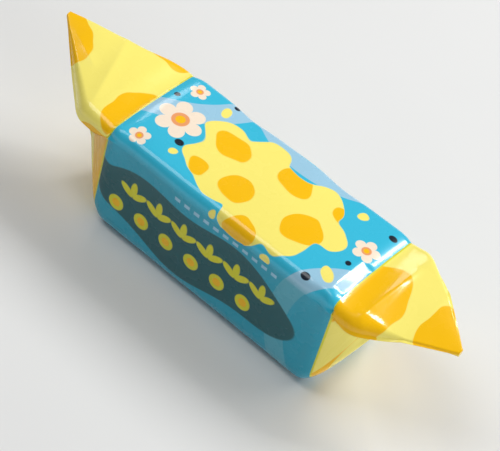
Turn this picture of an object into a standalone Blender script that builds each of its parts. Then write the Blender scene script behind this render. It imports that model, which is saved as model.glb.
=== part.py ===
"""Wrapped caramel candy: a soft bar in printed film, with a pointed flap folded out of each end.

Blender 4.5 script in metres, +Z up. The origin is in the middle of the candy's length and
width, at the height of the surface that it lies on. +X runs along the bar and +Z points out
of the main printed face. The film is shut all round, so bar and film are one solid. The two
flaps differ as on a real candy: both are tilted, the left one is longer and its tip is lifted,
and the right one's tip sinks.
"""
import math
from dataclasses import dataclass

import bmesh
import bpy

MM = 0.001

# The bar in its film
BAR_LENGTH = 42.0 * MM
BAR_WIDTH = 19.0 * MM
BAR_HEIGHT = 19.5 * MM
TOP_EDGE_RADIUS = 1.7 * MM
BOTTOM_EDGE_RADIUS = 2.3 * MM
TOP_CROWN = 0.25 * MM

# What the flaps at both ends share
TIP_HALF_WIDTH = 0.45 * MM
SHOULDER_ROUND = 1.2 * MM
DROP_POWER = 1.3

# The side facet above the flap's edge, which grows past the bar and fades towards the tip
FACET_START = 2.5 * MM
FACET_CORNER = 3.4 * MM
FACET_FADE_POWER = 0.8
FACET_LEAN = 0.9 * MM
EDGE_THICKNESS = 0.35 * MM

# The bottom panel, which rounds up just before the bar's end, rises and lies under the flap
END_ROUND_START = -2.4 * MM
END_ROUND_CORNER = 1.6 * MM
END_SLOPE_REACH = 6.0 * MM
UNDER_LAYER = 0.55 * MM

# The folded layers at the sides of an end, which lie inside the flap's edges
TUCK_START = -1.4 * MM
TUCK_CORNER = 1.0 * MM
TUCK_REACH = 4.4 * MM
TUCK_DEPTH = 2.2 * MM
FOLD_STEP = 0.12 * MM

# Where the candy has a section: steps on the bar, to the end slope, then shares of what is left
BAR_STEPS = 5
END_STEPS = 4
SLOPE_STEPS = 8
FLAP_SHARES = (0.12, 0.27, 0.45, 0.64, 0.82, 1.0)

# Points round a section
TOP_STEPS = 3
TOP_ARC_STEPS = 4
BOTTOM_ARC_STEPS = 4
BOTTOM_STEPS = 2

FILM_COLOUR = (0.86, 0.68, 0.16, 1.0)
FILM_ROUGHNESS = 0.3


@dataclass(frozen=True)
class EndFold:
    """The flap at one end: its reach, where each edge turns in, its tip, its tilt and its facets."""

    reach: float
    far_shoulder: float
    near_shoulder: float
    tip_drop: float
    tip_y: float
    tilt: float
    tilt_reach: float
    facet_height: float
    facet_reach: float


LEFT_FOLD = EndFold(
    reach=19.0 * MM,
    far_shoulder=1.1 * MM,
    near_shoulder=6.0 * MM,
    tip_drop=-1.05 * MM,
    tip_y=1.6 * MM,
    tilt=0.19,
    tilt_reach=15.0 * MM,
    facet_height=3.6 * MM,
    facet_reach=17.0 * MM,
)
RIGHT_FOLD = EndFold(
    reach=16.2 * MM,
    far_shoulder=3.1 * MM,
    near_shoulder=3.7 * MM,
    tip_drop=1.5 * MM,
    tip_y=-0.9 * MM,
    tilt=0.22,
    tilt_reach=9.7 * MM,
    facet_height=3.4 * MM,
    facet_reach=9.4 * MM,
)

# The bar's own middle, which lies a little to the side of the shorter flap
BAR_MIDDLE_X = (LEFT_FOLD.reach - RIGHT_FOLD.reach) / 2


def smooth_step(share):
    """A share from 0 to 1 with soft ends, held inside that range."""
    share = min(1.0, max(0.0, share))
    return share * share * (3.0 - 2.0 * share)


def round_then_rise(reach, start, corner, end):
    """A share that curves up from 0 at start, runs straight from corner on and is 1 at end."""
    curve = (corner - start) / 2
    whole = curve + end - corner
    if reach <= start:
        return 0.0
    if reach < corner:
        return (reach - start) ** 2 / (4 * curve) / whole
    return min(1.0, (curve + reach - corner) / whole)


def arc(centre_y, centre_z, radius, start, end, steps):
    """Points of a circular arc in the section's plane, angles in degrees from +Y."""
    points = []
    for step in range(steps + 1):
        angle = math.radians(start + (end - start) * step / steps)
        points.append((centre_y + radius * math.cos(angle), centre_z + radius * math.sin(angle)))
    return points


def flap_edge(fold, reach, side):
    """Y of one edge of a flap: the bar's width up to its shoulder, then straight to the tip."""
    shoulder = fold.far_shoulder if side > 0 else fold.near_shoulder
    share = round_then_rise(reach, shoulder - SHOULDER_ROUND, shoulder + SHOULDER_ROUND, fold.reach)
    full = side * BAR_WIDTH / 2
    return full + (fold.tip_y + side * TIP_HALF_WIDTH - full) * share


def flap_span(fold, reach):
    """Y of the flap's middle, and half its width."""
    far = flap_edge(fold, reach, 1)
    near = flap_edge(fold, reach, -1)
    return (far + near) / 2, (far - near) / 2


def tuck_depth(fold, reach):
    """How far the bottom panel's edge lies inside the flap's: deepest where it meets the flap."""
    if reach <= TUCK_REACH:
        return TUCK_DEPTH * round_then_rise(reach, TUCK_START, TUCK_CORNER, TUCK_REACH)
    return TUCK_DEPTH * (fold.reach - reach) / (fold.reach - TUCK_REACH)


def half_section(fold, reach):
    """One half of a section, from the middle of the top round to the middle of the bottom.

    reach is the distance beyond the bar's end, below 0 on the bar.
    """
    beyond = max(0.0, reach)
    width = flap_span(fold, reach)[1]
    top = BAR_HEIGHT - fold.tip_drop * (beyond / fold.reach) ** DROP_POWER
    fade = max(0.0, 1.0 - beyond / fold.facet_reach) ** FACET_FADE_POWER
    facet = EDGE_THICKNESS + (fold.facet_height - EDGE_THICKNESS) * fade
    facet = FACET_START + (facet - FACET_START) * smooth_step(beyond / FACET_CORNER)
    edge = top - facet
    ridge = width - FACET_LEAN * (1.0 - fade) * width / (BAR_WIDTH / 2)
    rise = round_then_rise(reach, END_ROUND_START, END_ROUND_CORNER, END_SLOPE_REACH)
    bottom = (edge - UNDER_LAYER) * rise
    under = width - tuck_depth(fold, reach) - FOLD_STEP * rise

    radius = min(TOP_EDGE_RADIUS, 0.7 * facet, 0.5 * ridge)
    foot_radius = BOTTOM_EDGE_RADIUS + (FOLD_STEP - BOTTOM_EDGE_RADIUS) * rise
    crown = TOP_CROWN * width / (BAR_WIDTH / 2)
    flat = ridge - radius
    shoulder = top - crown

    points = []
    for step in range(TOP_STEPS):
        share = step / TOP_STEPS
        points.append((flat * share, top - crown * share ** 2))
    points += arc(flat, shoulder - radius, radius, 90, 0, TOP_ARC_STEPS)
    points.append((width, edge))
    points.append((width - 0.5 * FOLD_STEP * rise, edge - FOLD_STEP))
    points.append((under, edge - 2 * FOLD_STEP))
    points += arc(under - foot_radius, bottom + foot_radius, foot_radius, 0, -90, BOTTOM_ARC_STEPS)
    for step in range(1, BOTTOM_STEPS + 1):
        points.append(((under - foot_radius) * (1 - step / BOTTOM_STEPS), bottom))
    return points


def section(fold, reach, x):
    """The whole closed section at x, as points that run once round it, leaned and tilted."""
    half = half_section(fold, reach)
    outline = half + [(-y, z) for y, z in reversed(half[1:-1])]
    lean = flap_span(fold, reach)[0]
    slope = fold.tilt * min(1.0, max(0.0, reach) / fold.tilt_reach)
    return [(x, lean + y, z + slope * (lean + y)) for y, z in outline]


def bar_stations():
    """Distances along the bar from its middle, closer together where its ends round up."""
    half = BAR_LENGTH / 2
    straight = half + END_ROUND_START
    ends = [straight + (half - straight) * step / END_STEPS for step in range(1, END_STEPS + 1)]
    middle = [straight * (2 * step / BAR_STEPS - 1) for step in range(BAR_STEPS + 1)]
    return [-along for along in reversed(ends)] + middle + ends


def flap_stations(fold):
    """Distances beyond the bar's end where a flap has a section."""
    stations = [END_SLOPE_REACH * (step + 1) / SLOPE_STEPS for step in range(SLOPE_STEPS)]
    return stations + [END_SLOPE_REACH + (fold.reach - END_SLOPE_REACH) * share for share in FLAP_SHARES]


def all_sections():
    """Sections from the left tip, along the bar, to the right tip."""
    half = BAR_LENGTH / 2
    left_end = BAR_MIDDLE_X - half
    right_end = BAR_MIDDLE_X + half
    sections = [section(LEFT_FOLD, reach, left_end - reach) for reach in reversed(flap_stations(LEFT_FOLD))]
    for along in bar_stations():
        fold = LEFT_FOLD if along < 0.0 else RIGHT_FOLD
        sections.append(section(fold, abs(along) - half, BAR_MIDDLE_X + along))
    sections += [section(RIGHT_FOLD, reach, right_end + reach) for reach in flap_stations(RIGHT_FOLD)]
    return sections


def place_ring(verts, points):
    """Move a ring of vertices onto the points of a section, in order."""
    for vert, point in zip(verts, points):
        vert.co = point


def sweep(sections):
    """A closed mesh that runs through every section, made by extruding a ring step by step."""
    bm = bmesh.new()
    count = len(sections[0])
    ring = bmesh.ops.create_circle(bm, cap_ends=False, segments=count, radius=BAR_WIDTH / 2)["verts"]
    place_ring(ring, sections[0])
    first_edges = list(bm.edges)
    edges = first_edges
    for points in sections[1:]:
        made = bmesh.ops.extrude_edge_only(bm, edges=edges)["geom"]
        fresh = {item for item in made if isinstance(item, bmesh.types.BMVert)}
        ring = [next(e.other_vert(v) for e in v.link_edges if e.other_vert(v) in fresh) for v in ring]
        place_ring(ring, points)
        edges = [item for item in made if isinstance(item, bmesh.types.BMEdge)]
        edges = [e for e in edges if e.verts[0] in fresh and e.verts[1] in fresh]
    bmesh.ops.holes_fill(bm, edges=first_edges + edges, sides=count)
    bmesh.ops.triangulate(bm, faces=list(bm.faces))
    bmesh.ops.recalc_face_normals(bm, faces=list(bm.faces))
    return bm


def film_material():
    """Glossy printed film, in the mean colour of its print."""
    material = bpy.data.materials.new("printed_film")
    material.use_nodes = True
    shader = material.node_tree.nodes["Principled BSDF"]
    shader.inputs["Base Color"].default_value = FILM_COLOUR
    shader.inputs["Roughness"].default_value = FILM_ROUGHNESS
    shader.inputs["Metallic"].default_value = 0.0
    return material


def build_candy():
    """The wrapped bar as one object."""
    bm = sweep(all_sections())
    mesh = bpy.data.meshes.new("wrapped_candy")
    bm.to_mesh(mesh)
    bm.free()
    mesh.materials.append(film_material())
    mesh.shade_smooth()
    mesh.set_sharp_from_angle(angle=math.radians(25))
    candy = bpy.data.objects.new("wrapped_candy", mesh)
    bpy.context.scene.collection.objects.link(candy)
    return candy


def main():
    """Clear the scene and build the candy."""
    for existing in list(bpy.data.objects):
        bpy.data.objects.remove(existing, do_unlink=True)
    build_candy()


if __name__ == "__main__":
    main()
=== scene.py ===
"""Wrapped caramel candy: the printed film folded round a soft bar, in a plain studio.

Blender 4.5 script in metres, +Z up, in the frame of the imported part. The film is one shut piece:
a long box over the bar, and a pointed flap folded out of each end. It is drawn through the same
sections as the part's solid, with the lap, the layers, the creases and the dents that the solid
leaves out. Its print follows the unfolded sheet, whose two distances in millimetres are kept in
the film's own UV map.
"""

import logging
import math
from collections.abc import Sequence
from dataclasses import dataclass, field
from enum import Enum

import bmesh
import bpy
from mathutils import Matrix, Vector, noise

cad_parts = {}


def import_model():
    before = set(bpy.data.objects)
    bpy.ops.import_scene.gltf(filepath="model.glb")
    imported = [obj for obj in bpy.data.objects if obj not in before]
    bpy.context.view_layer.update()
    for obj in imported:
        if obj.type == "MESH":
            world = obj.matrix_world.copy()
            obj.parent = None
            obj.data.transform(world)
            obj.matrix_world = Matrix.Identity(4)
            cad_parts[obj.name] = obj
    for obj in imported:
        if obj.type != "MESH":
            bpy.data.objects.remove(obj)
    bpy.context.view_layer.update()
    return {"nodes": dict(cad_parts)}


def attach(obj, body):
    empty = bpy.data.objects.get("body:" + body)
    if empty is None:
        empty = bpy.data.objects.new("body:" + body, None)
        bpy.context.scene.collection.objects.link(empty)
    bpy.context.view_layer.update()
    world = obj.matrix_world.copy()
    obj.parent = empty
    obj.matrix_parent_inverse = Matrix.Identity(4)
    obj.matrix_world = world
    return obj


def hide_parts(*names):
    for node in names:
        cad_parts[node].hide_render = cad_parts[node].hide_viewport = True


LOG = logging.getLogger("wrapped_candy")

MM = 0.001
SHEET_MAP = "film_sheet"

Outline = list[tuple[float, float]]
Socket = bpy.types.NodeSocket
Vert = bmesh.types.BMVert


class Ink(Enum):
    """Inks of the print, as they look on white film in even light, from 0 to 255."""

    SKY = (56, 190, 222)
    PALE_SKY = (158, 204, 228)
    BUTTER = (253, 238, 118)
    AMBER = (253, 194, 0)
    CREAM = (250, 232, 210)
    BLUSH = (240, 160, 104)
    LIME = (222, 218, 40)
    DEEP_TEAL = (10, 88, 96)
    NAVY = (20, 32, 46)

    @property
    def linear(self) -> tuple[float, float, float, float]:
        """The ink as a linear colour with alpha."""
        shares = [channel / 255 for channel in self.value]
        return (*[s / 12.92 if s <= 0.04045 else ((s + 0.055) / 1.055) ** 2.4 for s in shares], 1.0)


class End(Enum):
    """An end of the candy, with its direction along X."""

    LEFT = -1
    RIGHT = 1


@dataclass(frozen=True)
class EndFold:
    """The flap at one end: its reach, where each edge turns in, its tip, its tilt and its facets."""

    end: End
    reach: float
    far_shoulder: float
    near_shoulder: float
    tip_drop: float
    tip_y: float
    tilt: float
    tilt_reach: float
    facet_height: float
    facet_reach: float


@dataclass(frozen=True)
class Crease:
    """A pinched line across a flap, from one place to another, in distance beyond the bar and Y."""

    end: End
    start: tuple[float, float]
    finish: tuple[float, float]
    height: float
    width: float

    def lift(self, reach: float, y: float) -> float:
        """How far the crease lifts the film at a place on the flap.

        Args:
            reach: Distance beyond the bar's end.
            y: Distance across the flap.

        Returns:
            The lift, highest on the line and dying out a width away from it and towards its ends.
        """
        run = Vector(self.finish) - Vector(self.start)
        away = Vector((reach, y)) - Vector(self.start)
        along = away.dot(run) / run.length_squared
        nearest = min(1.0, max(0.0, along))
        distance = (away - run * nearest).length / self.width
        if distance >= 1.0:
            return 0.0
        body = math.sqrt(max(0.0, 1.0 - (2.0 * nearest - 1.0) ** 2))
        return self.height * body * (1.0 - distance) ** 2


@dataclass(frozen=True)
class Dent:
    """A soft hollow or bulge of the film, placed on the unfolded sheet."""

    along: float
    around: float
    radius: float
    lift: float

    def at(self, along: float, around: float) -> float:
        """How far the film lies out at a place of the sheet."""
        square = ((along - self.along) ** 2 + (around - self.around) ** 2) / self.radius ** 2
        return self.lift * math.exp(-square)


@dataclass(frozen=True)
class SheetPoint:
    """A point of the film in space, with its place on the unfolded sheet."""

    place: Vector
    around: float
    upper: float


@dataclass(frozen=True)
class Spot:
    """A round or oval of ink on the unfolded sheet, in millimetres."""

    along: float
    around: float
    half_along: float
    half_around: float


@dataclass(frozen=True)
class Ring:
    """A wide ring of ink on the unfolded sheet, in millimetres."""

    along: float
    around: float
    radius: float
    half_width: float


@dataclass(frozen=True)
class Flower:
    """A simple flower on the unfolded sheet, in millimetres."""

    along: float
    around: float
    radius: float
    petals: int


@dataclass(frozen=True)
class Row:
    """A row of like motifs down both sides, in millimetres on the unfolded sheet."""

    around: float
    pitch: float
    shift: float
    middle: float
    half_length: float


def smooth_step(share: float) -> float:
    """A share from 0 to 1 with soft ends, held inside that range."""
    share = min(1.0, max(0.0, share))
    return share * share * (3.0 - 2.0 * share)


def round_then_rise(reach: float, start: float, corner: float, end: float) -> float:
    """A share that curves up from 0 at start, runs straight from corner on and is 1 at end."""
    curve = (corner - start) / 2
    whole = curve + end - corner
    if reach <= start:
        return 0.0
    if reach < corner:
        return (reach - start) ** 2 / (4 * curve) / whole
    return min(1.0, (curve + reach - corner) / whole)


def arc(centre: tuple[float, float], radius: float, start: float, end: float, steps: int) -> Outline:
    """Points of a circular arc in a section's plane.

    Args:
        centre: Y and Z of the middle.
        radius: Its radius.
        start: First angle in degrees from +Y.
        end: Last angle.
        steps: Number of steps between them.

    Returns:
        The points, both ends included.
    """
    points = []
    for step in range(steps + 1):
        angle = math.radians(start + (end - start) * step / steps)
        points.append((centre[0] + radius * math.cos(angle), centre[1] + radius * math.sin(angle)))
    return points


def straight(start: tuple[float, float], end: tuple[float, float], steps: int) -> Outline:
    """Points after start up to end, in even steps."""
    return [
        (start[0] + (end[0] - start[0]) * step / steps, start[1] + (end[1] - start[1]) * step / steps)
        for step in range(1, steps + 1)
    ]


@dataclass
class WrapperFilm:
    """The film of the candy: its folded form, its lap, its layers, creases and dents."""

    name: str = "candy_film"
    bar_length: float = 42.0 * MM
    bar_width: float = 19.0 * MM
    bar_height: float = 19.5 * MM
    top_edge_radius: float = 1.7 * MM
    bottom_edge_radius: float = 2.3 * MM
    top_crown: float = 0.25 * MM
    tip_half_width: float = 0.45 * MM
    shoulder_round: float = 1.2 * MM
    drop_power: float = 1.3
    facet_start: float = 2.5 * MM
    facet_corner: float = 3.4 * MM
    facet_fade_power: float = 0.8
    facet_lean: float = 0.9 * MM
    edge_thickness: float = 0.35 * MM
    end_round_start: float = -2.4 * MM
    end_round_corner: float = 1.6 * MM
    end_slope_reach: float = 6.0 * MM
    under_layer: float = 0.55 * MM
    tuck_start: float = -1.4 * MM
    tuck_corner: float = 1.0 * MM
    tuck_reach: float = 4.4 * MM
    tuck_depth: float = 2.2 * MM
    fold_step: float = 0.12 * MM
    layer_groove: float = 0.2 * MM
    lap_share: float = 0.35
    lap_step: float = 0.1 * MM
    lap_fade: float = 2.0 * MM
    end_dip: float = 0.54 * MM
    end_dip_reach: float = 2.7 * MM
    dip_recovery: float = 4.5 * MM
    press_middle: float = -3.8 * MM
    press_half: float = 3.0 * MM
    press_edge: float = 1.0 * MM
    press_start: float = 0.4 * MM
    press_run: float = 2.07 * MM
    ripple_height: float = 0.07 * MM
    ripple_size: float = 7.0 * MM
    pleat_height: float = 0.1 * MM
    pleat_pitch: float = 1.9 * MM
    pleat_start: float = 0.4 * MM
    pleat_reach: float = 5.5 * MM
    flap_wave_height: float = 0.1 * MM
    flap_wave_size: float = 5.5 * MM
    flap_wave_shift: tuple[float, float, float] = (3.7, 1.3, 8.1)
    sharp_angle: float = 38.0
    bar_stations: int = 150
    flap_stations: int = 64
    top_steps: int = 26
    top_arc_steps: int = 14
    facet_steps: int = 10
    tuck_steps: int = 5
    side_steps: int = 22
    bottom_arc_steps: int = 6
    bottom_steps: int = 16
    left: EndFold = EndFold(
        end=End.LEFT,
        reach=19.0 * MM,
        far_shoulder=1.1 * MM,
        near_shoulder=6.0 * MM,
        tip_drop=-1.05 * MM,
        tip_y=1.6 * MM,
        tilt=0.19,
        tilt_reach=15.0 * MM,
        facet_height=3.6 * MM,
        facet_reach=17.0 * MM,
    )
    right: EndFold = EndFold(
        end=End.RIGHT,
        reach=16.2 * MM,
        far_shoulder=3.1 * MM,
        near_shoulder=3.7 * MM,
        tip_drop=1.5 * MM,
        tip_y=-0.9 * MM,
        tilt=0.22,
        tilt_reach=9.7 * MM,
        facet_height=3.4 * MM,
        facet_reach=9.4 * MM,
    )
    creases: Sequence[Crease] = (
        Crease(End.RIGHT, (3.4 * MM, -8.4 * MM), (4.0 * MM, 5.0 * MM), 0.22 * MM, 1.3 * MM),
        Crease(End.RIGHT, (2.0 * MM, -7.4 * MM), (7.2 * MM, -6.0 * MM), 0.14 * MM, 1.2 * MM),
        Crease(End.LEFT, (4.8 * MM, -8.6 * MM), (10.4 * MM, 6.0 * MM), 0.2 * MM, 2.2 * MM),
        Crease(End.LEFT, (9.5 * MM, -2.6 * MM), (17.5 * MM, 0.6 * MM), 0.12 * MM, 1.6 * MM),
    )
    dents: Sequence[Dent] = (
        Dent(18.4 * MM, -9.9 * MM, 1.8 * MM, -0.45 * MM),
        Dent(-17.8 * MM, -9.4 * MM, 2.2 * MM, -0.3 * MM),
        Dent(-3.0 * MM, -9.6 * MM, 3.2 * MM, -0.16 * MM),
        Dent(8.0 * MM, 9.4 * MM, 3.2 * MM, -0.25 * MM),
        Dent(-9.0 * MM, 9.4 * MM, 2.6 * MM, -0.22 * MM),
        Dent(-6.0 * MM, 4.0 * MM, 7.0 * MM, -0.12 * MM),
        Dent(9.0 * MM, -1.5 * MM, 6.0 * MM, 0.1 * MM),
        Dent(-14.0 * MM, -16.0 * MM, 6.0 * MM, -0.3 * MM),
        Dent(6.0 * MM, -17.0 * MM, 7.0 * MM, -0.32 * MM),
        Dent(13.0 * MM, 16.5 * MM, 6.5 * MM, -0.3 * MM),
        Dent(-9.0 * MM, 17.0 * MM, 6.5 * MM, -0.28 * MM),
    )
    middle_x: float = field(init=False)

    def __post_init__(self) -> None:
        """Place the bar's middle, which lies to the side of the shorter flap."""
        self.middle_x = (self.left.reach - self.right.reach) / 2

    def flap_edge(self, fold: EndFold, reach: float, side: int) -> float:
        """Y of one edge of a flap: the bar's width up to its shoulder, then straight to the tip."""
        shoulder = fold.far_shoulder if side > 0 else fold.near_shoulder
        start, corner = shoulder - self.shoulder_round, shoulder + self.shoulder_round
        share = round_then_rise(reach, start, corner, fold.reach)
        full = side * self.bar_width / 2
        return full + (fold.tip_y + side * self.tip_half_width - full) * share

    def flap_span(self, fold: EndFold, reach: float) -> tuple[float, float]:
        """Y of the flap's middle, and half its width."""
        far, near = self.flap_edge(fold, reach, 1), self.flap_edge(fold, reach, -1)
        return (far + near) / 2, (far - near) / 2

    def tucked(self, fold: EndFold, reach: float) -> float:
        """How far the bottom panel's edge lies inside the flap's."""
        if reach <= self.tuck_reach:
            share = round_then_rise(reach, self.tuck_start, self.tuck_corner, self.tuck_reach)
        else:
            share = (fold.reach - reach) / (fold.reach - self.tuck_reach)
        return self.tuck_depth * share

    def half_outline(self, fold: EndFold, reach: float, lapped: bool) -> tuple[Outline, int]:
        """One half of a section, from the middle of the top round to the lap on the underside.

        Args:
            fold: The flap of this end.
            reach: Distance beyond the bar's end, below 0 on the bar.
            lapped: True for the half whose film lies under the other's, inside the lap.

        Returns:
            The points, and the index of the one on the flap's edge.
        """
        beyond = max(0.0, reach)
        width = self.flap_span(fold, reach)[1]
        top = self.bar_height - fold.tip_drop * (beyond / fold.reach) ** self.drop_power
        fade = max(0.0, 1.0 - beyond / fold.facet_reach) ** self.facet_fade_power
        facet = self.edge_thickness + (fold.facet_height - self.edge_thickness) * fade
        facet = self.facet_start + (facet - self.facet_start) * smooth_step(beyond / self.facet_corner)
        edge = top - facet
        ridge = width - self.facet_lean * (1.0 - fade) * width / (self.bar_width / 2)
        rise = round_then_rise(reach, self.end_round_start, self.end_round_corner, self.end_slope_reach)
        bottom = (edge - self.under_layer) * rise
        step = self.fold_step * rise
        under = width - self.tucked(fold, reach) - step
        radius = min(self.top_edge_radius, 0.7 * facet, 0.5 * ridge)
        foot_radius = self.bottom_edge_radius + (self.fold_step - self.bottom_edge_radius) * rise
        crown = self.top_crown * width / (self.bar_width / 2)
        flat = ridge - radius
        shoulder = top - crown

        points = []
        for index in range(self.top_steps):
            share = index / self.top_steps
            points.append((flat * share, top - crown * share ** 2))
        points += arc((flat, shoulder - radius), radius, 90, 0, self.top_arc_steps)
        points += straight((ridge, shoulder - radius), (width, edge), self.facet_steps)
        edge_index = len(points) - 1
        points.append((width - self.layer_groove * rise, edge - 0.5 * self.fold_step))
        points.append((width - 0.5 * step, edge - self.fold_step))
        points += straight(points[-1], (under, edge - 2 * self.fold_step), self.tuck_steps)
        points += straight(points[-1], (under, bottom + foot_radius), self.side_steps)
        flat_half = under - foot_radius
        foot = (flat_half, bottom + foot_radius)
        points += arc(foot, foot_radius, 0, -90, self.bottom_arc_steps)[1:]
        lap = self.lap_share * flat_half
        goal = lap if lapped else -lap
        for y, z in straight((flat_half, bottom), (goal, bottom), self.bottom_steps):
            lift = self.lap_step * math.exp((lap - y) / self.lap_fade) if lapped else 0.0
            points.append((y, z + lift))
        return points, edge_index

    def arounds(self, points: Outline, edge_index: int, lapped: bool) -> list[float]:
        """Distances round the sheet from the middle of the top.

        Args:
            points: One half of a section.
            edge_index: The index of the point on the flap's edge.
            lapped: Not used; True for the half that stops short of the middle of the underside.

        Returns:
            One distance for each point: measured from the top up to the flap's edge, and back from
            the middle of the underside beyond it, because the film in between is folded away.
        """
        travelled = [0.0]
        for before, after in zip(points, points[1:]):
            travelled.append(travelled[-1] + math.dist(before, after))
        last = self.half_sheet() - points[-1][0]
        lower = [last - (travelled[-1] - distance) for distance in travelled]
        return travelled[: edge_index + 1] + lower[edge_index + 1:]

    def half_sheet(self) -> float:
        """Half the way round the bar, from the middle of the top to the middle of the underside."""
        sides = self.bar_width + self.bar_height
        corners = (2.0 - math.pi / 2) * (self.top_edge_radius + self.bottom_edge_radius)
        return sides - corners

    def ring(self, fold: EndFold, reach: float, x: float) -> list[SheetPoint]:
        """One closed section, once round from the middle of the top.

        Args:
            fold: The flap of this end.
            reach: Distance beyond the bar's end.
            x: Where the section lies along the candy.

        Returns:
            Its points, leaned, tilted and creased, each with its distance round the sheet.
        """
        lean = self.flap_span(fold, reach)[0]
        slope = fold.tilt * min(1.0, max(0.0, reach) / fold.tilt_reach)
        below = smooth_step((reach - 0.6 * self.end_slope_reach) / self.end_slope_reach)
        halves = []
        for side, lapped in ((1, False), (-1, True)):
            points, edge_index = self.half_outline(fold, reach, lapped)
            arounds = self.arounds(points, edge_index, lapped)
            half = []
            for index, ((y, z), around) in enumerate(zip(points, arounds)):
                upper = self.upper_share(index, edge_index)
                y = lean + side * y
                lift = self.flap_lift(fold, reach, y) * max(upper, below)
                place = Vector((x, y, z + slope * y + lift))
                shift = lean if index <= edge_index else 0.0
                half.append(SheetPoint(place, shift + side * around, upper))
            halves.append(half)
        return halves[0] + halves[1][:0:-1]

    def upper_share(self, index: int, edge_index: int) -> float:
        """1 on the top and its edge, falling to 0 down the facet, for a point of a half outline."""
        ridge_index = self.top_steps + self.top_arc_steps
        if index > edge_index:
            return 0.0
        return 1.0 - smooth_step((index - ridge_index) / (edge_index - ridge_index))

    def flap_lift(self, fold: EndFold, reach: float, y: float) -> float:
        """How far a flap's film lies above its smooth form: the dip at the border, waves and creases."""
        if reach <= 0.0:
            return 0.0
        dip = -self.end_dip * (1.0 - smooth_step(reach / self.dip_recovery))
        grown = smooth_step(reach / (1.5 * self.flap_wave_size))
        taper = smooth_step((fold.reach - reach) / (0.4 * fold.reach))
        where = Vector((reach * fold.end.value, y, 0.0)) / self.flap_wave_size
        wave = self.flap_wave_height * grown * noise.noise(where + Vector(self.flap_wave_shift))
        lift = sum(crease.lift(reach, y) for crease in self.creases if crease.end is fold.end)
        return dip + wave + lift * taper

    def bar_lift(self, along: float, around: float, upper: float) -> float:
        """How far the bar's film lies out of its smooth form.

        Args:
            along: Distance from the bar's middle along it.
            around: Distance round the sheet.
            upper: 1 on the top face, 0 on the sides and the underside.

        Returns:
            The lift along the surface's normal: ripples, pleats by the ends, dents and the dip.
        """
        to_end = self.bar_length / 2 - abs(along)
        held = smooth_step(to_end / self.end_dip_reach)
        where = Vector((along, around, 0.0)) / self.ripple_size
        ripple = self.ripple_height * noise.noise(where) * held
        dip = -self.end_dip * upper * self.dip_share(along, around, to_end)
        pleat_fade = max(0.0, 1.0 - to_end / self.pleat_reach) ** 2 * smooth_step(to_end / self.pleat_start)
        phase = noise.noise(Vector((around, 0.0, 0.0)) / self.pleat_pitch)
        pleats = self.pleat_height * pleat_fade * phase * (1.0 - upper)
        dents = sum(dent.at(along, around) for dent in self.dents) * held
        return ripple + dip + pleats + dents

    def dip_share(self, along: float, around: float, to_end: float) -> float:
        """How far the face has dipped towards a border: in a curve, or flat where it is pressed."""
        curved = max(0.0, 1.0 - to_end / self.end_dip_reach) ** 2
        if along < 0.0:
            return curved
        pressed = 1.0 - smooth_step((abs(around - self.press_middle) - self.press_half) / self.press_edge)
        ramp = min(1.0, max(0.0, 1.0 - (to_end - self.press_start) / self.press_run))
        return curved + (ramp - curved) * pressed

    def rings(self) -> list[tuple[float, list[SheetPoint]]]:
        """Every section from the left tip to the right one, with its distance beyond the bar."""
        found = []
        half = self.bar_length / 2
        for step in range(self.flap_stations, 0, -1):
            reach = self.left.reach * step / self.flap_stations
            found.append((reach, self.ring(self.left, reach, self.middle_x - half - reach)))
        for step in range(self.bar_stations + 1):
            along = -half + self.bar_length * step / self.bar_stations
            fold = self.left if along < 0.0 else self.right
            found.append((0.0, self.ring(fold, abs(along) - half, self.middle_x + along)))
        for step in range(1, self.flap_stations + 1):
            reach = self.right.reach * step / self.flap_stations
            found.append((reach, self.ring(self.right, reach, self.middle_x + half + reach)))
        return found

    def sheet_distances(self, rings: Sequence[list[SheetPoint]]) -> list[list[float]]:
        """Distances along the sheet from the bar's middle, for every point of every section.

        Args:
            rings: The sections, from the left tip to the right one.

        Returns:
            A list for each section, measured along the film beyond the bar's ends.
        """
        first = self.flap_stations
        last = first + self.bar_stations
        alongs = [[point.place.x - self.middle_x for point in ring] for ring in rings]
        for order, sign in ((range(first - 1, -1, -1), -1), (range(last + 1, len(rings)), 1)):
            for index in order:
                inner = index - sign
                for spot, point in enumerate(rings[index]):
                    run = point.place - rings[inner][spot].place
                    alongs[index][spot] = alongs[inner][spot] + sign * math.hypot(run.x, run.z)
        return alongs

    def sweep(self, bm: bmesh.types.BMesh, rings: Sequence[list[SheetPoint]]) -> list[list[Vert]]:
        """Extrude a ring step by step through every section, and shut both tips.

        Args:
            bm: The empty mesh that it fills.
            rings: The sections.

        Returns:
            The vertices of each section, in the order of its points.
        """
        count = len(rings[0])
        verts = bmesh.ops.create_circle(bm, cap_ends=False, segments=count, radius=self.bar_width)["verts"]
        first_edges = list(bm.edges)
        edges = first_edges
        made_rings = [list(verts)]
        for _ in rings[1:]:
            made = bmesh.ops.extrude_edge_only(bm, edges=edges)["geom"]
            fresh = {item for item in made if isinstance(item, Vert)}
            made_rings.append([self.partner(vert, fresh) for vert in made_rings[-1]])
            edges = [item for item in made if isinstance(item, bmesh.types.BMEdge)]
            edges = [edge for edge in edges if edge.verts[0] in fresh and edge.verts[1] in fresh]
        for made_ring, ring in zip(made_rings, rings):
            for vert, point in zip(made_ring, ring):
                vert.co = point.place
        bmesh.ops.holes_fill(bm, edges=first_edges + edges, sides=count)
        bmesh.ops.recalc_face_normals(bm, faces=list(bm.faces))
        return made_rings

    def partner(self, vert: Vert, fresh: set[Vert]) -> Vert:
        """The vertex that the last extrusion made from this one."""
        return next(edge.other_vert(vert) for edge in vert.link_edges if edge.other_vert(vert) in fresh)

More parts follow.
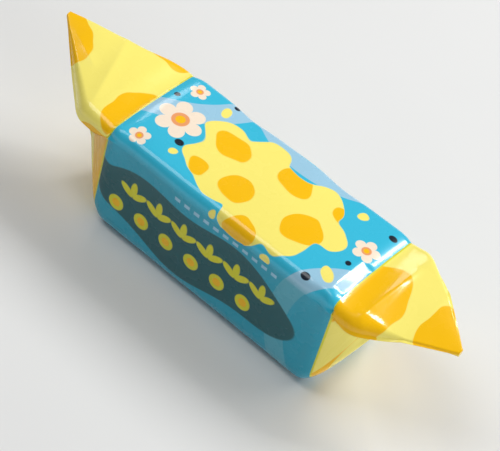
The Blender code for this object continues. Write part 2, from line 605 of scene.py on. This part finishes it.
    def build(self) -> bpy.types.Object:
        """Model the film.

        Returns:
            The film as one shut mesh object, with the sheet's UV map in millimetres.
        """
        stations = self.rings()
        rings = [ring for _, ring in stations]
        alongs = self.sheet_distances(rings)
        bm = bmesh.new()
        made_rings = self.sweep(bm, rings)
        bm.normal_update()
        marks = {}
        for (reach, ring), made_ring, ring_alongs in zip(stations, made_rings, alongs):
            for point, vert, along in zip(ring, made_ring, ring_alongs):
                marks[vert] = (along / MM, point.around / MM)
                if reach == 0.0:
                    vert.co += vert.normal * self.bar_lift(along, point.around, point.upper)
        self.lay_floor_flat(bm)
        sheet = bm.loops.layers.uv.new(SHEET_MAP)
        for face in bm.faces:
            for loop in face.loops:
                loop[sheet].uv = marks[loop.vert]
        bm.normal_update()
        mesh = bpy.data.meshes.new(self.name)
        bm.to_mesh(mesh)
        bm.free()
        mesh.shade_smooth()
        mesh.set_sharp_from_angle(angle=math.radians(self.sharp_angle))
        film = bpy.data.objects.new(self.name, mesh)
        bpy.context.scene.collection.objects.link(film)
        return film

    def lay_floor_flat(self, bm: bmesh.types.BMesh) -> None:
        """Keep every point at or above the surface that the candy lies on."""
        for vert in bm.verts:
            vert.co.z = max(0.0, vert.co.z)


class ShaderMaths:
    """Small sums in a material's node tree. Each call adds nodes and returns a socket."""

    def __init__(self, tree: bpy.types.NodeTree) -> None:
        """Work in one material's node tree."""
        self.tree = tree

    def plug(self, target: Socket, value: object) -> None:
        """Link a socket to a target, or set the target to a plain value."""
        if isinstance(value, bpy.types.NodeSocket):
            self.tree.links.new(value, target)
        else:
            target.default_value = value

    def math(self, operation: str, *values: object) -> Socket:
        """A Math node of the given operation on one to three values."""
        node = self.tree.nodes.new("ShaderNodeMath")
        node.operation = operation
        for target, value in zip(node.inputs, values):
            self.plug(target, value)
        return node.outputs[0]

    def vector(self, operation: str, *values: object) -> Socket:
        """A Vector Math node of the given operation, which gives a vector or a single number."""
        node = self.tree.nodes.new("ShaderNodeVectorMath")
        node.operation = operation
        for target, value in zip(node.inputs, values):
            self.plug(target, value)
        return node.outputs["Value" if operation in ("LENGTH", "DOT_PRODUCT") else "Vector"]

    def sheet(self) -> Socket:
        """The place on the unfolded sheet: along the candy and round it, in millimetres."""
        node = self.tree.nodes.new("ShaderNodeUVMap")
        node.uv_map = SHEET_MAP
        return node.outputs["UV"]

    def split(self, where: Socket) -> tuple[Socket, Socket]:
        """The first two coordinates of a place."""
        node = self.tree.nodes.new("ShaderNodeSeparateXYZ")
        self.plug(node.inputs[0], where)
        return node.outputs[0], node.outputs[1]

    def join(self, first: Socket, second: Socket) -> Socket:
        """A place made of two coordinates."""
        node = self.tree.nodes.new("ShaderNodeCombineXYZ")
        self.plug(node.inputs[0], first)
        self.plug(node.inputs[1], second)
        return node.outputs[0]

    def mix(self, share: object, first: object, second: object) -> Socket:
        """Mix two colours by a share of the second."""
        node = self.tree.nodes.new("ShaderNodeMix")
        node.data_type = "RGBA"
        self.plug(node.inputs["Factor"], share)
        self.plug(node.inputs["A"], first)
        self.plug(node.inputs["B"], second)
        return node.outputs["Result"]

    def inside(self, distance: Socket, softness: float = 0.06) -> Socket:
        """1 where a distance is below nothing, 0 where it is above, with a narrow soft edge."""
        node = self.tree.nodes.new("ShaderNodeMapRange")
        self.plug(node.inputs["Value"], distance)
        node.inputs["From Min"].default_value = -softness
        node.inputs["From Max"].default_value = softness
        node.inputs["To Min"].default_value = 1.0
        node.inputs["To Max"].default_value = 0.0
        return node.outputs["Result"]

    def ink(self, distance: Socket, under: object, ink: Ink) -> Socket:
        """Print an ink where a distance is below nothing, over what is printed so far."""
        return self.mix(self.inside(distance), under, ink.linear)

    def noise(self, where: Socket, scale: float, detail: float = 2.0, rough: float = 0.5) -> bpy.types.Node:
        """A Noise Texture node on the given coordinates."""
        node = self.tree.nodes.new("ShaderNodeTexNoise")
        self.plug(node.inputs["Vector"], where)
        node.inputs["Scale"].default_value = scale
        node.inputs["Detail"].default_value = detail
        node.inputs["Roughness"].default_value = rough
        return node

    def spot(self, where: Socket, spot: Spot) -> Socket:
        """Distance outside a round or oval spot."""
        scale = (1 / spot.half_along, 1 / spot.half_around, 0.0)
        shift = (-spot.along / spot.half_along, -spot.around / spot.half_around, 0.0)
        length = self.vector("LENGTH", self.vector("MULTIPLY_ADD", where, scale, shift))
        least = min(spot.half_along, spot.half_around)
        return self.math("MULTIPLY_ADD", length, least, -least)

    def spots(self, where: Socket, spots: Sequence[Spot], blend: float = 0.0) -> Socket:
        """Distance outside several spots, which run together softly where blend is above 0."""
        found = self.spot(where, spots[0])
        for spot in spots[1:]:
            found = self.union(found, self.spot(where, spot), blend)
        return found

    def union(self, first: Socket, second: Socket, blend: float = 0.0) -> Socket:
        """Distance outside both of two shapes."""
        if blend:
            return self.math("SMOOTH_MIN", first, second, blend)
        return self.math("MINIMUM", first, second)

    def band(self, value: Socket, middle: float, half: float) -> Socket:
        """Distance outside a band of a value."""
        off = self.math("ABSOLUTE", self.math("SUBTRACT", value, middle))
        return self.math("SUBTRACT", off, half)


@dataclass
class PrintDesign:
    """The print on the unfolded sheet: blue ground, a splash of caramel, flowers and blotched ends, with
    painted shade on the sides.

    Sizes are in millimetres on the sheet: along the candy from the bar's middle, and round it from
    the middle of the main face.
    """

    border: float = 21.1
    border_line: float = 0.15
    warp_scale: float = 0.17
    warp_reach: float = 1.5
    rings: Sequence[Ring] = (
        Ring(-26.0, 14.0, 16.0, 2.0),
        Ring(30.0, -18.0, 17.0, 1.7),
        Ring(2.0, 22.0, 15.0, 1.6),
    )
    splash_blend: float = 2.2
    splash: Sequence[Spot] = (
        Spot(0.8, -0.6, 11.0, 5.4),
        Spot(-9.0, 2.4, 3.4, 3.2),
        Spot(-8.8, -3.8, 2.8, 2.6),
        Spot(-2.6, 4.6, 2.8, 2.8),
        Spot(8.0, 3.4, 3.4, 3.2),
        Spot(12.6, -0.6, 3.0, 2.6),
        Spot(9.0, -5.6, 3.0, 3.4),
        Spot(3.0, -7.2, 4.2, 4.2),
        Spot(-4.0, -5.4, 3.2, 2.6),
    )
    drops: Sequence[Spot] = (
        Spot(16.9, -5.9, 0.9, 0.9),
        Spot(-12.4, 6.0, 0.9, 0.9),
        Spot(13.6, 6.2, 0.8, 0.8),
        Spot(8.6, -10.2, 0.8, 0.8),
        Spot(-12.2, -6.0, 0.7, 0.7),
        Spot(-1.6, -9.8, 0.7, 0.8),
    )
    splash_patch_blend: float = 0.6
    splash_patches: Sequence[Spot] = (
        Spot(-7.0, 1.8, 3.3, 2.3),
        Spot(-1.4, -3.8, 2.9, 2.3),
        Spot(3.2, 3.4, 3.1, 2.2),
        Spot(9.6, -2.8, 2.9, 2.7),
        Spot(11.6, 3.9, 2.0, 1.6),
        Spot(3.2, -9.4, 2.5, 2.2),
        Spot(-8.2, -5.0, 1.7, 1.4),
    )
    end_patch_blend: float = 0.5
    end_patches: Sequence[Spot] = (
        Spot(23.6, -6.6, 4.6, 9.4),
        Spot(37.6, -1.4, 6.4, 7.4),
        Spot(-21.4, -4.6, 3.4, 5.2),
        Spot(-38.6, -2.2, 5.2, 4.8),
        Spot(-25.8, 8.6, 3.4, 2.2),
        Spot(-23.0, -15.2, 6.0, 5.0),
        Spot(-23.6, -22.0, 4.0, 5.6),
        Spot(-33.6, 14.0, 3.0, 2.4),
    )
    flowers: Sequence[Flower] = (
        Flower(-15.6, -0.4, 3.8, 6),
        Flower(17.9, 1.4, 2.1, 5),
        Flower(-17.6, 6.2, 1.6, 5),
        Flower(-17.4, -7.2, 1.7, 5),
    )
    petal_depth: float = 0.42
    petal_fullness: float = 0.6
    core_share: float = 0.36
    eye_share: float = 0.2
    buds: Sequence[Spot] = (
        Spot(-12.7, -3.9, 0.75, 0.6),
        Spot(-12.0, 8.4, 0.5, 0.5),
        Spot(18.9, 6.4, 0.7, 0.55),
        Spot(15.0, -8.6, 0.75, 0.6),
        Spot(17.6, -2.4, 0.45, 0.45),
        Spot(-19.4, 3.2, 0.5, 0.45),
    )
    # painted shade: across the sides the print is darkened by the tint below, as if they lay in shade
    side_middle: float = 20.4
    side_half_width: float = 9.6
    side_shade_blur: float = 0.8
    painted_side_shade_tint: tuple[float, float, float] = (0.26, 0.7, 0.7)
    side_band: Spot = Spot(-3.2, 19.4, 20.0, 6.0)
    sway_rate: float = 0.31
    sway_reach: float = 0.7
    dashes: Row = Row(around=12.4, pitch=1.8, shift=0.0, middle=1.8, half_length=9.9)
    dash_half_length: float = 0.5
    dash_half_width: float = 0.3
    sprigs: Row = Row(around=17.2, pitch=4.9, shift=0.0, middle=-2.45, half_length=14.7)
    leaf_leans: Sequence[float] = (-32.0, -90.0, -148.0)
    leaf_half_length: float = 1.4
    leaf_half_width: float = 0.6
    leaf_root: float = 1.3
    berries: Row = Row(around=21.6, pitch=4.9, shift=2.45, middle=-4.9, half_length=14.7)
    berry_radius: float = 1.35
    berry_rim: float = 0.65
    panel_middle: float = 36.8
    panel_half_length: float = 16.0
    panel_half_width: float = 5.0
    panel_corner: float = 1.5
    blotch_scale: float = 0.12
    blotch_softness: float = 0.3
    blotch_shift: tuple[float, float, float] = (5.0, 3.0, 0.0)
    blotch_spread: float = 8.0
    blotch_radius: float = 2.9
    blotch_start: float = 26.5

    def paint(self, maths: ShaderMaths) -> Socket:
        """Draw the whole print, with painted shade darkening the sides.

        Args:
            maths: The sums in the film's material.

        Returns:
            The print's colour.
        """
        where = maths.sheet()
        along, around = maths.split(where)
        aside = maths.math("ABSOLUTE", around)
        flow = self.warped(maths, where)
        colour = self.ground(maths, where)
        colour = self.painted_side_shade_and_band(maths, colour, along, aside)
        colour = self.side_rows(maths, colour, along, aside)
        colour = self.splashed(maths, colour, flow)
        for flower in self.flowers:
            colour = self.flowered(maths, colour, where, flower)
        colour = maths.ink(maths.spots(where, self.buds), colour, Ink.NAVY)
        colour = self.underside(maths, colour, along, aside)
        return self.ends(maths, colour, flow, along, aside)

    def warped(self, maths: ShaderMaths, where: Socket) -> Socket:
        """The sheet's coordinates, pushed about softly so that round spots look poured."""
        cloud = maths.noise(where, self.warp_scale, 1.0).outputs["Color"]
        centred = maths.vector("SUBTRACT", cloud, (0.5, 0.5, 0.5))
        reach = (2.0 * self.warp_reach, 2.0 * self.warp_reach, 0.0)
        return maths.vector("MULTIPLY_ADD", centred, reach, where)

    def ground(self, maths: ShaderMaths, where: Socket) -> Socket:
        """The blue ground with its wide pale rings."""
        colour: object = Ink.SKY.linear
        for ring in self.rings:
            away = maths.vector("SUBTRACT", where, (ring.along, ring.around, 0.0))
            drawn = maths.band(maths.vector("LENGTH", away), ring.radius, ring.half_width)
            colour = maths.ink(drawn, colour, Ink.PALE_SKY)
        return colour

    def splashed(self, maths: ShaderMaths, colour: Socket, flow: Socket) -> Socket:
        """The pale splash with its drops and amber patches."""
        splash = maths.spots(flow, self.splash, self.splash_blend)
        drops = maths.spots(flow, self.drops)
        colour = maths.ink(maths.union(splash, drops), colour, Ink.BUTTER)
        patches = maths.spots(flow, self.splash_patches, self.splash_patch_blend)
        return maths.ink(maths.math("MAXIMUM", patches, splash), colour, Ink.AMBER)

    def flowered(self, maths: ShaderMaths, colour: Socket, where: Socket, flower: Flower) -> Socket:
        """A simple round-petalled flower with a warm middle.

        Args:
            maths: The sums in the film's material.
            colour: What is printed so far.
            where: The sheet's coordinates.
            flower: Its place, its size and how many petals it has.

        Returns:
            The colour with the flower on it.
        """
        away = maths.vector("SUBTRACT", where, (flower.along, flower.around, 0.0))
        out_along, out_around = maths.split(away)
        angle = maths.math("ARCTAN2", out_around, out_along)
        wave = maths.math("COSINE", maths.math("MULTIPLY_ADD", angle, flower.petals / 2, flower.along))
        lobe = maths.math("POWER", maths.math("ABSOLUTE", wave), self.petal_fullness)
        depth = self.petal_depth * flower.radius
        rim = maths.math("MULTIPLY_ADD", lobe, depth, flower.radius - depth)
        distance = maths.vector("LENGTH", away)
        colour = maths.ink(maths.math("SUBTRACT", distance, rim), colour, Ink.CREAM)
        for share, ink in ((self.core_share, Ink.BLUSH), (self.eye_share, Ink.AMBER)):
            colour = maths.ink(maths.math("SUBTRACT", distance, share * flower.radius), colour, ink)
        return colour

    def painted_side_shade_and_band(self, maths: ShaderMaths, colour: Socket, along: Socket, aside: Socket) -> Socket:
        """Painted shade: the sides darkened by a tint as if they lay in shade, with a deep printed band
        behind their rows.
        """
        side = maths.inside(maths.band(aside, self.side_middle, self.side_half_width), self.side_shade_blur)
        # painted shade: the sides' print multiplied by a dark tint
        colour = maths.mix(side, colour, maths.vector("MULTIPLY", colour, self.painted_side_shade_tint))
        sway = maths.math("SINE", maths.math("MULTIPLY", along, self.sway_rate))
        swayed = maths.join(along, maths.math("MULTIPLY_ADD", sway, self.sway_reach, aside))
        return maths.ink(maths.spot(swayed, self.side_band), colour, Ink.DEEP_TEAL)

    def side_rows(self, maths: ShaderMaths, colour: Socket, along: Socket, aside: Socket) -> Socket:
        """Rows of dashes, sprigs and berries down both sides."""
        lengthways, sideways = maths.split(self.cell(maths, along, aside, self.dashes))
        long = maths.band(lengthways, 0.0, self.dash_half_length)
        wide = maths.band(sideways, 0.0, self.dash_half_width)
        dash = self.in_row(maths, maths.math("MAXIMUM", long, wide), along, self.dashes)
        colour = maths.ink(dash, colour, Ink.PALE_SKY)

        cell = self.cell(maths, along, aside, self.sprigs)
        leaves = self.leaf(maths, cell, self.leaf_leans[0])
        for lean in self.leaf_leans[1:]:
            leaves = maths.union(leaves, self.leaf(maths, cell, lean))
        colour = maths.ink(self.in_row(maths, leaves, along, self.sprigs), colour, Ink.LIME)

        cell = self.cell(maths, along, aside, self.berries)
        berry = maths.spot(cell, Spot(0.0, 0.0, self.berry_radius, self.berry_radius))
        berry = self.in_row(maths, berry, along, self.berries)
        colour = maths.ink(berry, colour, Ink.LIME)
        return maths.ink(maths.math("ADD", berry, self.berry_rim), colour, Ink.AMBER)

    def cell(self, maths: ShaderMaths, along: Socket, aside: Socket, row: Row) -> Socket:
        """Coordinates whose origin is in the middle of each cell of a row."""
        moved = maths.math("ADD", along, row.shift)
        wrapped = maths.math("WRAP", moved, row.pitch / 2, -row.pitch / 2)
        return maths.join(wrapped, maths.math("SUBTRACT", aside, row.around))

    def in_row(self, maths: ShaderMaths, distance: Socket, along: Socket, row: Row) -> Socket:
        """Distance outside a shape that is drawn only as far along as its row runs."""
        return maths.math("MAXIMUM", distance, maths.band(along, row.middle, row.half_length))

    def leaf(self, maths: ShaderMaths, cell: Socket, lean: float) -> Socket:
        """Distance outside an oval leaf that grows from the middle of a cell.

        Args:
            maths: The sums in the film's material.
            cell: Coordinates in the cell.
            lean: The leaf's direction in degrees.

        Returns:
            The distance.
        """
        half_length, half_width = self.leaf_half_length, self.leaf_half_width
        across, up = math.cos(math.radians(lean)), math.sin(math.radians(lean))
        middle = (across * half_length, up * half_length + self.leaf_root, 0.0)
        placed = maths.vector("SUBTRACT", cell, middle)
        lengthways = (across / half_length, up / half_length, 0.0)
        sideways = (-up / half_width, across / half_width, 0.0)
        long = maths.vector("DOT_PRODUCT", placed, lengthways)
        wide = maths.vector("DOT_PRODUCT", placed, sideways)
        root = maths.vector("LENGTH", maths.join(long, wide))
        return maths.math("MULTIPLY_ADD", root, half_width, -half_width)

    def underside(self, maths: ShaderMaths, colour: Socket, along: Socket, aside: Socket) -> Socket:
        """A plain pale panel with round corners on the underside."""
        across = maths.math("SUBTRACT", self.panel_middle, aside)
        long = maths.math("SUBTRACT", maths.math("ABSOLUTE", along), self.panel_half_length)
        wide = maths.math("SUBTRACT", across, self.panel_half_width)
        out = maths.join(maths.math("MAXIMUM", long, 0.0), maths.math("MAXIMUM", wide, 0.0))
        panel = maths.math("SUBTRACT", maths.vector("LENGTH", out), self.panel_corner)
        return maths.ink(panel, colour, Ink.PALE_SKY)

    def ends(self, maths: ShaderMaths, colour: Socket, flow: Socket, along: Socket, aside: Socket) -> Socket:
        """The pale ends with amber blotches, past a thin line at the border."""
        patches = maths.spots(flow, self.end_patches, self.end_patch_blend)
        patches = maths.union(patches, self.blotches(maths, flow, aside))
        end = maths.ink(patches, Ink.BUTTER.linear, Ink.AMBER)
        out = maths.math("ABSOLUTE", along)
        past = maths.inside(maths.math("SUBTRACT", self.border, out))
        colour = maths.mix(past, colour, end)
        return maths.ink(maths.band(out, self.border, self.border_line), colour, Ink.LIME)

    def blotches(self, maths: ShaderMaths, flow: Socket, aside: Socket) -> Socket:
        """Distance outside the loose blotches of the lower film, which lies under the flaps."""
        scatter = maths.tree.nodes.new("ShaderNodeTexVoronoi")
        scatter.voronoi_dimensions = "2D"
        scatter.feature = "SMOOTH_F1"
        scatter.inputs["Scale"].default_value = self.blotch_scale
        scatter.inputs["Smoothness"].default_value = self.blotch_softness
        maths.plug(scatter.inputs["Vector"], maths.vector("ADD", flow, self.blotch_shift))
        away = scatter.outputs["Distance"]
        blotch = maths.math("MULTIPLY_ADD", away, self.blotch_spread, -self.blotch_radius)
        return maths.math("MAXIMUM", blotch, maths.math("SUBTRACT", self.blotch_start, aside))


@dataclass(frozen=True)
class FilmFinish:
    """Glossy film, printed on its inner face: clear gloss over the inks, with fine slack wrinkles."""

    name: str = "printed_film"
    roughness_low: float = 0.2
    roughness_high: float = 0.34
    cloud_scale: float = 0.35
    cloud_detail: float = 3.0
    specular: float = 0.22
    coat: float = 0.6
    coat_roughness: float = 0.1
    wrinkle_scale: float = 0.42
    wrinkle_detail: float = 1.0
    wrinkle_rough: float = 0.4
    wrinkle_strength: float = 0.5
    wrinkle_height: float = 0.05 * MM

    def material(self, design: PrintDesign) -> bpy.types.Material:
        """Make the film's material.

        Args:
            design: What is printed on it.

        Returns:
            The material, whose pattern follows the unfolded sheet.
        """
        made = bpy.data.materials.new(self.name)
        made.use_nodes = True
        tree = made.node_tree
        shader = tree.nodes["Principled BSDF"]
        maths = ShaderMaths(tree)
        maths.plug(shader.inputs["Base Color"], design.paint(maths))
        where = maths.sheet()
        cloud = maths.noise(where, self.cloud_scale, self.cloud_detail).outputs["Fac"]
        spread = self.roughness_high - self.roughness_low
        maths.plug(shader.inputs["Roughness"], maths.math("MULTIPLY_ADD", cloud, spread, self.roughness_low))
        shader.inputs["Metallic"].default_value = 0.0
        shader.inputs["Specular IOR Level"].default_value = self.specular
        shader.inputs["Coat Weight"].default_value = self.coat
        shader.inputs["Coat Roughness"].default_value = self.coat_roughness
        bump = tree.nodes.new("ShaderNodeBump")
        bump.inputs["Strength"].default_value = self.wrinkle_strength
        bump.inputs["Distance"].default_value = self.wrinkle_height
        wrinkles = maths.noise(where, self.wrinkle_scale, self.wrinkle_detail, self.wrinkle_rough)
        maths.plug(bump.inputs["Height"], wrinkles.outputs["Fac"])
        maths.plug(shader.inputs["Normal"], bump.outputs["Normal"])
        maths.plug(shader.inputs["Coat Normal"], bump.outputs["Normal"])
        return made


@dataclass(frozen=True)
class Softbox:
    """A square or oblong soft light that faces the candy."""

    name: str
    direction: tuple[float, float, float]
    distance: float
    width: float
    height: float
    power: float

    def place(self, aim: Vector) -> None:
        """Hang the light so that it faces a point."""
        data = bpy.data.lights.new(self.name, "AREA")
        data.shape = "RECTANGLE"
        data.size = self.width
        data.size_y = self.height
        data.energy = self.power
        lamp = bpy.data.objects.new(self.name, data)
        towards = Vector(self.direction).normalized()
        lamp.location = aim + towards * self.distance
        lamp.rotation_mode = "QUATERNION"
        lamp.rotation_quaternion = (-towards).to_track_quat("-Z", "Y")
        bpy.context.scene.collection.objects.link(lamp)


@dataclass
class Studio:
    """A pale floor, soft lights and the camera at the angle of the photographed candy."""

    floor_half: float = 0.9
    floor_colour: tuple[float, float, float, float] = (0.77, 0.77, 0.76, 1.0)
    floor_shade: float = 0.97
    floor_cloud_scale: float = 40.0
    floor_roughness: float = 0.7
    world_colour: tuple[float, float, float, float] = (0.96, 0.98, 1.0, 1.0)
    world_strength: float = 0.145
    camera_place: tuple[float, float, float] = (101.8 * MM, -190.0 * MM, 236.2 * MM)
    aim: tuple[float, float, float] = (1.4 * MM, 0.0, 10.0 * MM)
    roll: float = 17.2
    lens: float = 156.0
    softboxes: Sequence[Softbox] = (
        Softbox("key_softbox", (0.5, 0.52, 0.7), 0.7, 0.3, 0.3, 1.55),
        Softbox("glint_strip", (0.147, 0.625, 0.767), 0.6, 0.06, 0.24, 1.5),
        Softbox("overhead_softbox", (-0.42, -0.14, 0.9), 0.6, 0.3, 0.34, 1.2),
        Softbox("corner_softbox", (-0.55, 0.61, 0.57), 0.7, 0.14, 0.14, 0.28),
        Softbox("fill_softbox", (0.9, -0.26, 0.24), 0.7, 0.3, 0.3, 1.6),
    )

    def build(self) -> None:
        """Make everything round the candy."""
        self.lay_floor()
        self.light_world()
        for softbox in self.softboxes:
            softbox.place(Vector(self.aim))
        self.set_camera()

    def lay_floor(self) -> None:
        """Lay a wide plain floor at the height that the candy rests on."""
        bm = bmesh.new()
        bmesh.ops.create_grid(bm, x_segments=2, y_segments=2, size=self.floor_half)
        mesh = bpy.data.meshes.new("studio_floor")
        bm.to_mesh(mesh)
        bm.free()
        mesh.materials.append(self.floor_material())
        floor = bpy.data.objects.new("studio_floor", mesh)
        bpy.context.scene.collection.objects.link(floor)

    def floor_material(self) -> bpy.types.Material:
        """Smooth pale board with a trace of tone."""
        made = bpy.data.materials.new("pale_board")
        made.use_nodes = True
        shader = made.node_tree.nodes["Principled BSDF"]
        maths = ShaderMaths(made.node_tree)
        where = made.node_tree.nodes.new("ShaderNodeTexCoord").outputs["Object"]
        cloud = maths.noise(where, self.floor_cloud_scale).outputs["Fac"]
        darker = tuple(self.floor_shade * channel for channel in self.floor_colour[:3])
        maths.plug(shader.inputs["Base Color"], maths.mix(cloud, self.floor_colour, (*darker, 1.0)))
        shader.inputs["Roughness"].default_value = self.floor_roughness
        return made

    def light_world(self) -> None:
        """Fill the room with even pale light."""
        world = bpy.data.worlds.new("studio_world")
        world.use_nodes = True
        background = world.node_tree.nodes["Background"]
        background.inputs["Color"].default_value = self.world_colour
        background.inputs["Strength"].default_value = self.world_strength
        bpy.context.scene.world = world

    def set_camera(self) -> None:
        """Put the camera where the photographed candy was seen from, with its roll."""
        data = bpy.data.cameras.new("studio_camera")
        data.lens = self.lens
        data.clip_start = 0.01
        camera = bpy.data.objects.new("studio_camera", data)
        place = Vector(self.camera_place)
        look = (Vector(self.aim) - place).to_track_quat("-Z", "Y").to_matrix()
        turned = look @ Matrix.Rotation(math.radians(self.roll), 3, "Z")
        camera.matrix_world = Matrix.Translation(place) @ turned.to_4x4()
        bpy.context.scene.collection.objects.link(camera)
        bpy.context.scene.camera = camera
        bpy.context.scene.view_settings.view_transform = "Standard"


def main() -> None:
    """Build the candy's film and the studio round it."""
    logging.basicConfig(level=logging.INFO)
    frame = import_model()
    LOG.info("frame with nodes %s", sorted(frame["nodes"]))
    film = WrapperFilm().build()
    film.data.materials.append(FilmFinish().material(PrintDesign()))
    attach(film, "root")
    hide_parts("wrapped_candy")
    LOG.info("%s: %d faces", film.name, len(film.data.polygons))
    Studio().build()


if __name__ == "__main__":
    main()
